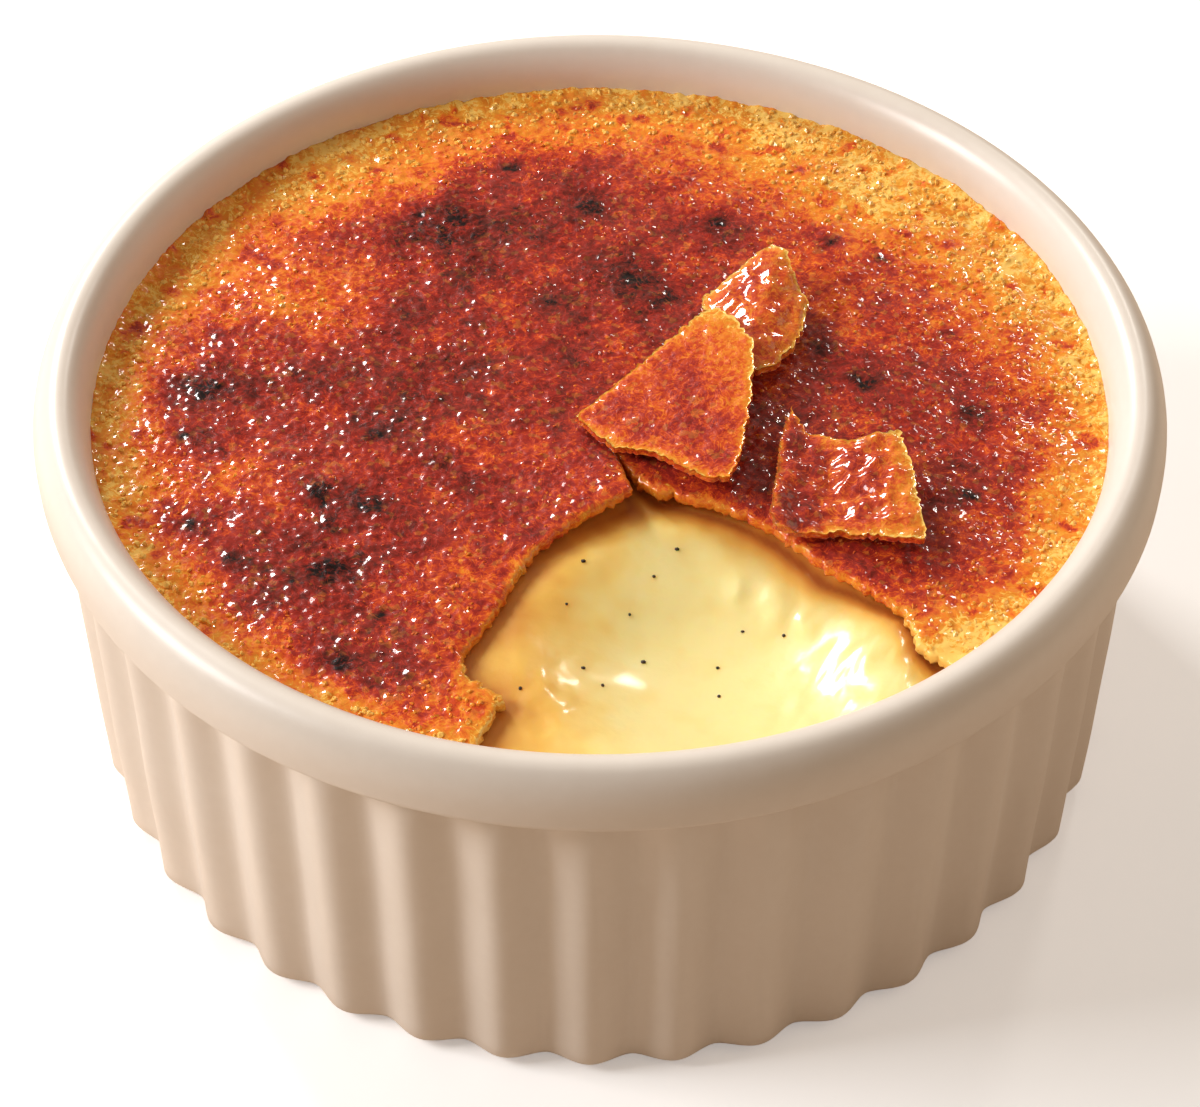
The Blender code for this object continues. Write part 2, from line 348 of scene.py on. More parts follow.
def hex_points(low, high, step):
    """Points in a close-packed pattern over a rectangle."""
    rows = np.arange(low[1], high[1], step * math.sqrt(0.75))
    columns = np.arange(low[0], high[0], step)
    found = []
    for k, y in enumerate(rows):
        shifted = columns + 0.5 * step * (k % 2)
        found.append(np.stack([shifted, np.full(len(columns), y)], 1))
    return np.concatenate(found)


def triangulated(outline, inner):
    """(points, triangles, outline's point numbers) of a flat sheet with these inner points."""
    count = len(outline)
    border = [(k, (k + 1) % count) for k in range(count)]
    every = [Vector(p) for p in np.concatenate([outline, inner])]
    points, _, faces, origins, _, _ = geometry.delaunay_2d_cdt(every, border, [], 1, 1e-6)
    place = {source: k for k, sources in enumerate(origins) for source in sources}
    return np.array([tuple(p) for p in points]), faces, [place[k] for k in range(count)]


def side_faces(above, below):
    """Quads between two closed rows of point numbers."""
    after = [(k + 1) % len(above) for k in range(len(above))]
    return [(above[k], below[k], below[n], above[n]) for k, n in enumerate(after)]


def side_wall(faces, border, used, rows):
    """Adds rows of side faces below a border, and gives the point numbers of the lowest row."""
    above = list(border)
    for _ in range(rows):
        below = list(range(used, used + len(above)))
        faces.extend(side_faces(above, below))
        above, used = below, used + len(above)
    return above


def closed_sheet(name, top, faces, border, rows):
    """A closed piece: the top sheet, rows of points down its side, and one face below."""
    faces = [tuple(f) for f in faces]
    lowest = side_wall(faces, border, len(top), len(rows))
    faces.append(tuple(reversed(lowest)))
    return mesh_piece(name, np.concatenate([top] + rows), faces)


def outward_from(flat, edge):
    """The direction away from a flat sheet at each point of its edge."""
    along = np.roll(flat[edge], -1, axis=0) - np.roll(flat[edge], 1, axis=0)
    outward = np.column_stack([along[:, 1], -along[:, 0]])
    return outward / np.maximum(np.linalg.norm(outward, axis=1), 1e-9)[:, None]


def waves(points, length, seed, octaves=2):
    """Smooth noise, about -1 to 1, with waves of this length in millimetres."""
    found = []
    for x, y in points:
        found.append(noise.fractal((x / length, y / length, seed), 1.0, 2.0, octaves))
    return np.array(found)


def step_between(value, low, high):
    """0 below low, 1 above high, smooth between."""
    share = np.clip((value - low) / (high - low), 0.0, 1.0)
    return share * share * (3 - 2 * share)


crack_line = np.array(crack_left + crack_notch + crack_right)


def custard_surface(points):
    """The height of the custard's top, in millimetres."""
    x, y = points[:, 0], points[:, 1]
    off_x, off_y = x - hollow_centre[0], y - hollow_centre[1]
    side = np.degrees(np.arctan2(off_y, off_x))
    around = np.hypot(off_x / hollow_radii[0], off_y / hollow_radii[1])
    around = around + 0.025 * np.sin(np.radians(3 * side + 40)) * np.clip(around, 0, 1) ** 3
    bowl = hollow_depth * np.clip(1.0 - np.clip(around, 0, 1) ** 2, 0.0, 1.0) ** 1.5
    # The ridge the spoon's edge pushed up, on the left.
    leftness = step_between(-np.cos(np.radians(side + 20)), 0.25, 0.85)
    leftness = leftness * step_between(around, 0.3, 0.85)
    ridge = ridge_height * np.exp(-(((around - 0.93) / 0.10) ** 2)) * leftness
    # Where the spoon came out, the surface climbs and is dragged into long wet streaks.
    shoulder = step_between(x + 0.2 * (y + 33.0), 16.5, 24.0) * step_between(28.5 - x, 0.0, 4.0)
    shoulder = shoulder_height * shoulder * step_between(-y, 22.0, 30.0)
    off_x, off_y = x - streaks_at[0], y - streaks_at[1]
    along, across = 0.5 * off_x + 0.87 * off_y, 0.87 * off_x - 0.5 * off_y
    streaked = np.exp(-((along / 7.0) ** 2) - ((across / 4.5) ** 2))
    ripple = 0.03 * waves(points, 3.2, 4.0) + 0.08 * waves(points, 9.0, 7.0, 1)
    dragged = np.column_stack([0.28 * along, across])
    ripple += streaked * 0.30 * waves(dragged, 1.15, 5.0, 2)
    for px, py, wide, tall in mounds:
        mound = np.exp(-(((x - px) / wide) ** 2) - (((y - py) / (1.7 * wide)) ** 2))
        ripple += mound * (tall + 0.20 * waves(points * (1.0, 0.6), 0.9, 9.0, 1))
    # Low down at the left, the soft skin is torn into a few short wrinkles.
    off_x, off_y = x - wrinkles_at[0], y - wrinkles_at[1]
    torn = np.exp(-((off_x / 2.6) ** 2) - ((off_y / 5.0) ** 2))
    ripple += 0.22 * torn * waves(points * (1.0, 0.5), 1.3, 8.0, 2)
    # Under the broken sugar the custard sinks away; outside the ridge it stands a little higher.
    overhung = step_between(np.cos(np.radians(side - 55)), 0.0, 0.6)
    overhung = overhung * step_between(around, 0.5, 1.0)
    margin = custard_top + 0.25 * leftness - 0.6 * overhung
    return margin - bowl + ridge + shoulder + ripple * step_between(1.25 - around, 0.0, 0.2)


steps_round = 240
turn = np.arange(steps_round) * 2 * math.pi / steps_round
custard_edge = custard_radius * np.stack([np.cos(turn), np.sin(turn)], 1)
fine = hex_points((-20, -45), (36, -2), custard_fine_step)
coarse = hex_points((-45, -45), (45, 45), custard_coarse_step)
in_view = (fine[:, 0] > -16) & (fine[:, 0] < 32) & (fine[:, 1] < -6)
out_of_view = ~((coarse[:, 0] > -17) & (coarse[:, 0] < 33) & (coarse[:, 1] < -5))
inner = np.concatenate([fine[in_view], coarse[out_of_view]])
inner = inner[np.hypot(inner[:, 0], inner[:, 1]) < custard_radius - 0.5]
flat, faces, border = triangulated(custard_edge, inner)
height = custard_surface(flat)
# At the front it creeps up the wall of the dish, where its skin has stuck.
edge_gap = custard_radius - np.hypot(flat[:, 0], flat[:, 1])
height += 0.7 * np.exp(-edge_gap / 0.7) * step_between(-flat[:, 1], 20, 30)
top = np.column_stack([flat, height])
side_rows = []
for radius, level in filling_side:
    level = np.full(steps_round, level)
    side_rows.append(np.column_stack([radius * np.cos(turn), radius * np.sin(turn), level]))
custard = closed_sheet("custard_spooned", top, faces, border, side_rows)

# Syrup has run under the broken edge and along the wall, which the material reads as a stain. The same
# mask also paints shade: darker under the overhanging sugar on the right of the crack, and on the left.
to_crack = edge_distance(flat, crack_line)
right_side = step_between(flat[:, 0], -2.0, 6.0)
syrup_and_shade = (0.62 + 0.50 * right_side) * np.exp(-to_crack / (3.0 - 1.5 * right_side))
# The ring by the wall is syrup; the darkening towards the left is painted shade on the hollow's left side.
syrup_and_shade += 0.25 * np.exp(-edge_gap / 1.2) + 0.26 * step_between(-flat[:, 0], -5.0, 6.0)
syrup_and_shade = np.clip(syrup_and_shade + 0.10 * waves(flat, 2.5, 2.0), 0.0, 1.0)


def write_mask(piece, name, values):
    """A value at each point, for materials to read; points past the list get its mean."""
    every = np.full(len(piece.data.vertices), float(np.mean(values)), np.float32)
    every[: len(values)] = values
    piece.data.attributes.new(name, "FLOAT", "POINT").data.foreach_set("value", every)


write_mask(custard, "syrup_and_shade", syrup_and_shade)
cream, tree, shader = new_material(
    "baked_custard", IOR=1.42, Coat_Weight=0.45, Coat_Roughness=0.12,
    Subsurface_Weight=0.5, Subsurface_Scale=4.0 * MM, Subsurface_Radius=(1.0, 0.6, 0.3),
)
place = add_node(tree, "ShaderNodeTexCoord").outputs["Object"]
syrup_and_shade_level = add_node(tree, "ShaderNodeAttribute", attribute_name="syrup_and_shade").outputs["Fac"]
curd = noise_on(tree, place, 260.0, 3.0)
mottling = maths(tree, "MULTIPLY", maths(tree, "SUBTRACT", curd, 0.5), 0.16)
mottled = maths(tree, "ADD", syrup_and_shade_level, mottling)
# Deeper gold to brown where syrup stains it and where shade is painted in.
custard_colour = ramp(
    tree,
    mottled,
    [
        (0.0, (1.0, 0.82, 0.36)),
        (0.18, (0.98, 0.72, 0.24)),
        (0.40, (0.90, 0.54, 0.11)),
        (0.70, (0.70, 0.29, 0.045)),
        (1.0, (0.42, 0.12, 0.022)),
    ],
)
tree.links.new(custard_colour, shader.inputs["Base Color"])
tree.links.new(remap(tree, curd, (0.3, 0.7), (0.30, 0.45)), shader.inputs["Roughness"])
soft_lumps = maths(tree, "MULTIPLY", noise_on(tree, place, 330.0, 1.0), 2.0)
grainy = maths(tree, "ADD", noise_on(tree, place, 1100.0, 2.0), soft_lumps)
tree.links.new(bump(tree, grainy, 0.10, 0.3 * MM), shader.inputs["Normal"])
custard.data.materials.append(cream)
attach(custard, "root")
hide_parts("custard")


# ------------------------------------------------------------------ burnt sugar sheet
# A brittle sheet of torched sugar covers the custard, pale gold against the wall, amber further in,
# red-brown in the middle, with scorched spots. It is a fine sheet of triangles pushed up into
# half-melted grains, with the crack cut out of it and the corner by the notch lifted.

sheet_radius = 45.2
sheet_step = 0.266
edge_step = 0.35
grain_size = 0.95
# The sheet's broken side: how far down each row of points is, and how far it stands out.
sheet_side = [(0.25, 0.05), (0.5, 0.03), (0.75, 0.02), (1.0, -0.10), (1.3, -0.45)]

lifted_corner = (2.8, -13.1)
lift_height = 1.1
lift_reach = 12.0
notch_slope = 0.29

# Scorched spots: place and width in millimetres, and how black they are.
scorches = [
    (-8.5, 32.5, 1.5, 0.6), (-24.5, 34.0, 1.4, 0.4), (-27.5, 27.5, 1.4, 0.35), (-13.5, 24.5, 1.9, 0.8),
    (-0.5, 26.4, 1.7, 0.9), (11.5, 24.5, 1.5, 0.7), (19.7, 32.3, 1.2, 0.7), (28.3, 32.0, 1.1, 0.6),
    (22.0, 21.4, 1.5, 0.9), (26.5, 18.6, 1.2, 0.8), (33.0, 21.0, 1.1, 0.5), (-30.5, 18.0, 1.4, 0.5),
    (3.2, 15.9, 1.7, 0.9), (6.0, 13.4, 3.0, 0.35), (-35.5, 0.2, 2.0, 0.75), (-36.5, -5.5, 1.5, 0.5),
    (-33.0, -7.8, 1.0, 0.6), (-19.5, -5.4, 1.6, 0.5), (-24.3, -12.5, 1.5, 0.9), (-19.8, -14.4, 1.8, 0.8),
    (-35.0, -16.5, 1.3, 0.5), (-31.0, -21.0, 1.2, 0.6), (-23.0, -22.0, 1.7, 1.0), (-18.0, -27.4, 1.4, 0.7),
    (-21.0, -33.0, 1.4, 0.9), (32.0, -13.0, 1.4, 0.8), (32.0, 8.0, 1.2, 0.5), (24.0, 1.4, 1.8, 0.7),
    (20.0, 6.2, 2.0, 0.35), (32.5, -2.5, 1.5, 0.5), (-14.0, -9.0, 1.5, 0.45), (9.0, 39.5, 1.4, 0.5),
    (-2.0, 42.3, 1.0, 0.5), (-11.5, -11.0, 1.6, 0.35), (29.5, 14.0, 1.0, 0.4), (-35.0, 7.4, 1.0, 0.4),
]
# Where the torch lingered (above zero) or passed by (below zero): place, reach, amount.
torch_passes = [
    (-13.0, 24.0, 9.0, 0.12), (0.0, 20.0, 11.0, 0.06), (4.0, 12.0, 6.0, 0.07),
    (-14.0, 1.0, 12.0, 0.10), (-24.0, -22.0, 8.0, 0.06), (28.0, -10.0, 9.0, 0.02),
    (23.0, 3.0, 7.0, 0.04), (-33.0, -2.0, 6.0, 0.12), (-27.0, 13.0, 7.0, -0.30),
    (-30.0, -10.0, 5.5, -0.22), (-10.0, -6.0, 6.5, -0.10), (-25.0, 33.0, 9.0, -0.14),
    (25.0, 26.0, 9.0, -0.19), (12.0, 33.0, 8.0, -0.08), (21.0, 14.0, 6.0, -0.10),
    (-6.0, 37.0, 8.0, -0.05), (-12.0, -25.0, 5.0, -0.14), (34.0, 10.0, 6.0, -0.12),
    (30.0, -30.0, 6.0, -0.35), (-9.0, -36.0, 4.5, -0.30),
]
# The pale band against the wall, by compass angle: how wide it is there.
band_angles = np.radians([-180, -150, -120, -90, -60, -30, 0, 30, 60, 90, 120, 150, 180])
band_widths = np.array([9.0, 8.0, 6.0, 6.5, 8.0, 7.0, 10.5, 15.0, 18.0, 13.0, 15.0, 14.0, 9.0])


def toasting_and_shade(points):
    """How far the sugar is burnt at each point, with a little painted shade at the left and back: 0 is pale
    gold and 1 is black.
    """
    x, y = points[:, 0], points[:, 1]
    width = np.interp(np.arctan2(y, x), band_angles, band_widths)
    warp = 2.2 * waves(points, 7.0, 11.0, 3)
    inward = (sheet_radius - np.hypot(x, y) + warp) / width
    # Palest at the wall and darker inwards; the little extra darkness at the left and the back is painted
    # shade from the rim.
    burnt_and_shaded = 0.08 + 0.05 * step_between(0.3 * y - x, -15.0, 35.0)
    burnt_and_shaded += 0.56 * step_between(inward, -0.05, 1.15)
    for px, py, reach, amount in torch_passes:
        burnt_and_shaded += amount * np.exp(-((x - px) ** 2 + (y - py) ** 2) / (0.72 * reach**2))
    burnt_and_shaded += 0.17 * waves(points, 5.0, 21.0, 3) + 0.12 * waves(points, 1.5, 31.0, 2)
    specks = step_between(waves(points, 2.6, 36.0, 2), 0.30, 0.62)
    burnt_and_shaded += 0.30 * specks * step_between(0.55 - burnt_and_shaded, 0.0, 0.3)
    bent = points + 0.5 * np.column_stack([waves(points, 1.3, 41.0), waves(points, 1.3, 51.0)])
    for px, py, wide, black in scorches:
        away = np.hypot((bent[:, 0] - px) / (1.25 * wide), (bent[:, 1] - py) / wide)
        heart, halo = np.exp(-(away**2) * 5.0), np.exp(-(away**2) / 1.8)
        burnt_and_shaded += 0.50 * black * heart + 0.15 * black * halo
    return np.clip(burnt_and_shaded, 0.0, 1.0)


def grains(points, size, seed):
    """Rounded lumps, 0 between them and 1 on top, of this size in millimetres."""
    found = np.empty(len(points))
    for k, (x, y) in enumerate(points):
        gaps = noise.voronoi((x / size, y / size, seed))[0]
        found[k] = gaps[1] - gaps[0]
    return np.clip(found * 1.4, 0.0, 1.0) ** 0.7


def sheet_relief(points):
    """The height of the sugar's top above its plain level: swells, half-melted grains, grit."""
    outer = step_between(np.hypot(points[:, 0], points[:, 1]), 30.0, 42.0)
    swells = 0.20 * waves(points, 8.0, 61.0, 2) + 0.11 * waves(points, 2.6, 71.0, 2)
    bubbles = (0.20 - 0.03 * outer) * (grains(points, grain_size, 5.0) - 0.5)
    return swells + bubbles + 0.07 * waves(points, 0.7, 81.0, 2)


def lifted(points):
    """How far the corner beside the notch has sprung up."""
    x, y = points[:, 0], points[:, 1]
    away = np.hypot(x - lifted_corner[0], y - lifted_corner[1])
    notch = lifted_corner[0] - notch_slope * (y - lifted_corner[1])
    left_of_notch = step_between(notch - x, -0.6, 0.2)
    return lift_height * np.clip(1.0 - away / lift_reach, 0.0, 1.0) ** 1.4 * left_of_notch


crack = np.concatenate([
    broken_line(crack_left, 0.36, 0.15, 1)[:-1],
    broken_line([crack_left[-1]] + crack_notch, 0.32, 0.05, 2)[:-1],
    broken_line([crack_notch[-1]] + crack_right, 0.36, 0.14, 3),
])
within = np.hypot(crack[:, 0], crack[:, 1]) < sheet_radius - 0.15
crack = crack[within]
first = math.atan2(crack[-1][1], crack[-1][0])
last = math.atan2(crack[0][1], crack[0][0]) + 2 * math.pi
turn = np.linspace(first, last, int((last - first) * sheet_radius / edge_step))[1:-1]
wall_edge = sheet_radius * np.stack([np.cos(turn), np.sin(turn)], 1)
outline = np.concatenate([wall_edge, crack])
inner = hex_points((-45, -45), (45, 45), sheet_step)
draw = np.random.default_rng(7)
inner = inner + draw.uniform(-0.05, 0.05, inner.shape)
inner = inner[np.hypot(inner[:, 0], inner[:, 1]) < sheet_radius - 0.2]
# The opening is what lies in front of the crack; no point may crowd its edge.
opening = np.concatenate([crack, [(40.0, -60.0), (-15.0, -60.0)]])
near = (inner[:, 1] < -5) & (inner[:, 0] > -14) & (inner[:, 0] < 36)
kept = ~near
kept[near] = ~inside_outline(inner[near], opening) & (edge_distance(inner[near], crack) > 0.17)
flat, faces, border = triangulated(outline, inner[kept])

to_wall = sheet_radius - np.hypot(flat[:, 0], flat[:, 1])
to_crack = np.full(len(flat), 30.0)
near = (flat[:, 1] < 0) & (flat[:, 0] > -22) & (flat[:, 0] < 40)
to_crack[near] = edge_distance(flat[near], crack)
# It climbs the wall a little, unevenly, and its broken edge is rounded off.
height = crust_top + sheet_relief(flat) + lifted(flat)
height += (0.5 + 0.3 * waves(flat, 1.4, 15.0)) * np.exp(-to_wall / 0.8)
height -= 0.15 * np.exp(-to_crack / 0.3)
top = np.column_stack([flat, height])
edge = np.array(border)
outward = outward_from(flat, edge)
at_wall = to_wall[edge] < 0.3
side_rows = []
draw = np.random.default_rng(8)
for down, bulge in sheet_side:
    push = bulge + draw.normal(0.0, 0.05, len(edge))
    push = np.where(at_wall, -0.1 * down, push)
    place_xy = flat[edge] + outward * push[:, None]
    side_rows.append(np.column_stack([place_xy, height[edge] - down]))
sugar_sheet = closed_sheet("burnt_sugar_sheet", top, faces, border, side_rows)

# Its sides are as burnt as the edge above them, and broken wherever they don't meet the wall.
burnt_and_shaded = toasting_and_shade(flat)
broken = np.exp(-to_crack / 0.45)
side_count = len(side_rows)
write_mask(sugar_sheet, "toast_and_shade", np.concatenate([burnt_and_shaded] + [burnt_and_shaded[edge]] * side_count))
write_mask(sugar_sheet, "broken", np.concatenate([broken] + [~at_wall] * side_count))


def add_sockets(group, way, sockets):
    """Sockets on a node group, as (name, kind)."""
    for name, kind in sockets:
        group.interface.new_socket(name, in_out=way, socket_type="NodeSocket" + kind)


# Torched sugar: one group gives its colour from how burnt it is, with painted shade and painted glints,
# wherever it is used.
toasted = bpy.data.node_groups.new("toasted_sugar", "ShaderNodeTree")
add_sockets(toasted, "INPUT", [("Place", "Vector"), ("Toast and Shade", "Float"), ("Broken", "Float")])
add_sockets(toasted, "OUTPUT", [("Colour", "Color"), ("Gloss", "Float")])
add_sockets(toasted, "OUTPUT", [("Relief", "Float"), ("Wet", "Float")])
given = toasted.nodes.new("NodeGroupInput").outputs
result = toasted.nodes.new("NodeGroupOutput").inputs
fine = noise_on(toasted, given["Place"], 2400.0, 2.0, 0.6)
threads = noise_on(toasted, given["Place"], 1100.0, 3.0, 0.6, 1.2)
cells = add_node(toasted, "ShaderNodeTexVoronoi", {"Vector": given["Place"], "Scale": 1900.0})
crystal = add_node(toasted, "ShaderNodeSeparateColor", {0: cells.outputs["Color"]}).outputs[0]
level = given["Toast and Shade"]
for unevenness, amount in ((crystal, 0.10), (fine, 0.26), (threads, 0.50)):
    swing = maths(toasted, "MULTIPLY", maths(toasted, "SUBTRACT", unevenness, 0.5), amount)
    level = maths(toasted, "ADD", level, swing)
# Thin paler veins run where a wandering noise crosses its middle value.
wander = maths(toasted, "SUBTRACT", noise_on(toasted, given["Place"], 620.0, 2.0, 0.6, 1.6), 0.5)
off_vein = maths(toasted, "MULTIPLY", maths(toasted, "ABSOLUTE", wander), 24.0)
vein = maths(toasted, "SUBTRACT", 1.0, off_vein, clamp=True)
level = maths(toasted, "SUBTRACT", level, maths(toasted, "MULTIPLY", vein, 0.17))
paler_break = maths(toasted, "MULTIPLY", given["Broken"], 0.34)
level = maths(toasted, "SUBTRACT", level, paler_break, clamp=True)
amber = ramp(
    toasted,
    level,
    [
        (0.00, (0.97, 0.60, 0.14)),
        (0.05, (0.88, 0.41, 0.048)),
        (0.16, (0.79, 0.26, 0.022)),
        (0.28, (0.82, 0.21, 0.020)),
        (0.43, (0.65, 0.076, 0.015)),
        (0.60, (0.37, 0.026, 0.017)),
        (0.80, (0.17, 0.016, 0.010)),
        (1.00, (0.010, 0.005, 0.005)),
    ],
)
# One grain in ten is painted as an orange glint, a painted highlight of light catching the grain, unless
# the sugar is burnt black there.
unburnt = maths(toasted, "SUBTRACT", 1.0, level, clamp=True)
painted_glint = maths(toasted, "MULTIPLY", maths(toasted, "GREATER_THAN", crystal, 0.90), unburnt)
painted_glint = maths(toasted, "MULTIPLY", painted_glint, 0.45)
amber = blend_colours(toasted, painted_glint, amber, (1.0, 0.42, 0.06))
toasted.links.new(amber, result["Colour"])
toasted.links.new(remap(toasted, fine, (0.3, 0.7), (0.30, 0.45)), result["Gloss"])
relief = maths(toasted, "ADD", threads, maths(toasted, "MULTIPLY", fine, 0.5))
toasted.links.new(relief, result["Relief"])
patches = noise_on(toasted, given["Place"], 190.0, 3.0, 0.6)
toasted.links.new(remap(toasted, patches, (0.42, 0.62), (0.30, 1.0)), result["Wet"])


def sugar_material(name, roughening, patchy=False, **sockets):
    """Burnt sugar from the toasted sugar group; patchy is glassy in some places only."""
    made, tree, shader = new_material(name, IOR=1.5, Specular_IOR_Level=0.08, Coat_IOR=1.5, **sockets)
    place = add_node(tree, "ShaderNodeTexCoord").outputs["Object"]
    burn_and_shade = add_node(tree, "ShaderNodeAttribute", attribute_name="toast_and_shade").outputs["Fac"]
    torn = add_node(tree, "ShaderNodeAttribute", attribute_name="broken").outputs["Fac"]
    group = add_node(tree, "ShaderNodeGroup", node_tree=toasted)
    for socket, value in (("Place", place), ("Toast and Shade", burn_and_shade), ("Broken", torn)):
        tree.links.new(value, group.inputs[socket])
    tree.links.new(group.outputs["Colour"], shader.inputs["Base Color"])
    tree.links.new(group.outputs["Gloss"], shader.inputs["Roughness"])
    relief = bump(tree, group.outputs["Relief"], roughening, 0.2 * MM)
    tree.links.new(relief, shader.inputs["Normal"])
    if patchy:
        tree.links.new(group.outputs["Wet"], shader.inputs["Coat Weight"])
    return made


sheet_sugar = sugar_material("burnt_sugar", 0.35, patchy=True, Coat_Roughness=0.07)
sugar_sheet.data.materials.append(sheet_sugar)
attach(sugar_sheet, "root")
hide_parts("caramel_crust")


# ------------------------------------------------------------------ sugar crystals
# Crystals that never quite melted stand out of the sheet, thickest in the pale band by the wall.
# Each is a small faceted grain turned at random, seated just under the sheet's surface, and
# smaller the more the sugar round it is burnt.

crystal_seat_depth = 0.09
most_crystals = 9500
smallest_crystal = 0.10
largest_crystal = 0.38

crystals = bpy.data.node_groups.new("scattered_crystals", "GeometryNodeTree")
add_sockets(crystals, "INPUT", [("Places", "Geometry"), ("Smallest", "Float"), ("Largest", "Float")])
add_sockets(crystals, "INPUT", [("Sugar", "Material")])
add_sockets(crystals, "OUTPUT", [("Grains", "Geometry")])
given = crystals.nodes.new("NodeGroupInput").outputs
result = crystals.nodes.new("NodeGroupOutput").inputs
low = add_node(crystals, "ShaderNodeCombineXYZ", {k: given["Smallest"] for k in range(3)}).outputs[0]
high = add_node(crystals, "ShaderNodeCombineXYZ", {k: given["Largest"] for k in range(3)}).outputs[0]


def random_vector(low, high, seed):
    """A different random vector at each crystal's seat."""
    inputs = {0: low, 1: high, "Seed": seed}
    return add_node(crystals, "FunctionNodeRandomValue", inputs, data_type="FLOAT_VECTOR").outputs[0]


turned_any_way = random_vector((0, 0, 0), (6.28, 6.28, 6.28), 3)
any_size = random_vector(low, high, 4)
burn_and_shade = add_node(crystals, "GeometryNodeInputNamedAttribute", {"Name": "toast_and_shade"}, data_type="FLOAT")
shrink = maths(crystals, "SUBTRACT", 1.25, maths(crystals, "MULTIPLY", burn_and_shade.outputs[0], 1.3))
melted = add_node(crystals, "ShaderNodeVectorMath", {0: any_size, "Scale": shrink}, operation="SCALE")
seats = add_node(crystals, "GeometryNodeMeshToPoints", {"Mesh": given["Places"]})
grain = add_node(crystals, "GeometryNodeMeshIcoSphere", {"Radius": 1.0, "Subdivisions": 1})
spread = add_node(crystals, "GeometryNodeInstanceOnPoints", {
    "Points": seats.outputs[0], "Instance": grain.outputs[0],
    "Rotation": turned_any_way, "Scale": melted.outputs[0],
})
made = add_node(crystals, "GeometryNodeRealizeInstances", {"Geometry": spread.outputs[0]}).outputs[0]
faceted = {"Geometry": made, "Shade Smooth": False}
made = add_node(crystals, "GeometryNodeSetShadeSmooth", faceted).outputs[0]
sugared = {"Geometry": made, "Material": given["Sugar"]}
made = add_node(crystals, "GeometryNodeSetMaterial", sugared).outputs[0]
crystals.links.new(made, result["Grains"])

draw = np.random.default_rng(12)
outer = np.hypot(flat[:, 0], flat[:, 1]) / sheet_radius
crystal_share = 0.03 + 0.04 * step_between(outer, 0.62, 0.95) + 0.06 * waves(flat, 4.0, 19.0)
chosen = (draw.uniform(0, 1, len(flat)) < crystal_share) & (to_wall > 0.35) & (to_crack > 0.3)
chosen = draw.permutation(np.flatnonzero(chosen))[:most_crystals]
seats = mesh_piece("crystal_seats", top[chosen] - (0.0, 0.0, crystal_seat_depth), [], smooth=False)
# The crystals are painted paler than the sugar round them: unmelted sugar is paler, and the lift also
# paints light into their shaded sides.
write_mask(seats, "toast_and_shade", np.clip(0.9 * burnt_and_shaded[chosen] - 0.18, 0, 1))
scatter = seats.modifiers.new("scatter", "NODES")
scatter.node_group = crystals
settings = {
    "Smallest": smallest_crystal * MM,
    "Largest": largest_crystal * MM,
    "Sugar": sugar_material("crystal_sugar", 0.1, Coat_Weight=0.9, Coat_Roughness=0.12),
}
for socket in crystals.interface.items_tree:
    if socket.name in settings:
        scatter[socket.identifier] = settings[socket.name]
solid = seats.evaluated_get(bpy.context.evaluated_depsgraph_get())
baked = bpy.data.meshes.new_from_object(solid)
bpy.data.objects.remove(seats)
baked.name = "sugar_crystals"
piece = bpy.data.objects.new("sugar_crystals", baked)
bpy.context.scene.collection.objects.link(piece)
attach(piece, "root")


# ------------------------------------------------------------------ broken shards
# Three pieces of the sheet lie where it was cracked: one leans on the fold of the piece behind it,
# and one curls like a leaf at the right. Each is a bent plate with lumpy faces and a crumbly edge.

shard_step = 0.24
shard_thickness = 0.75
fold_foot = (13.2, 2.0)
fold_run = (4.0, 14.4)
# The shards' broken sides: each row's share of the way down, and how far it stands out.
shard_side = [(0.3, 0.03), (0.6, 0.02), (0.85, 0.0)]


def front_lean(points):
    """A flat piece that rises to the right and a little to the back."""
    return 0.6 + 0.155 * (points[:, 0] + 2.2) + 0.06 * (points[:, 1] + 4.6)


def back_fold(points):
    """A piece folded along a ridge that climbs to the back."""
    along = np.array(fold_run) / math.hypot(*fold_run)
    x, y = points[:, 0] - fold_foot[0], points[:, 1] - fold_foot[1]
    climb = x * along[0] + y * along[1]
    aside = np.sqrt((x * along[1] - y * along[0]) ** 2 + 0.4)
    return np.maximum(0.3, 1.9 + 0.13 * climb - 0.36 * aside)


def right_curl(points):
    """A piece curled up on both sides of a soft valley, and level again at its right end."""
    x, y = points[:, 0], points[:, 1]
    across = x - 18.2 + 0.10 * (y + 8.0)
    valley = 0.29 * np.sqrt(across**2 + 1.2)
    level_end = 0.10 * (np.sqrt((across - 5.5) ** 2 + 1.5) + across - 5.5)
    return 0.1 + valley - level_end + 0.07 * np.maximum(0.0, y + 20.6)


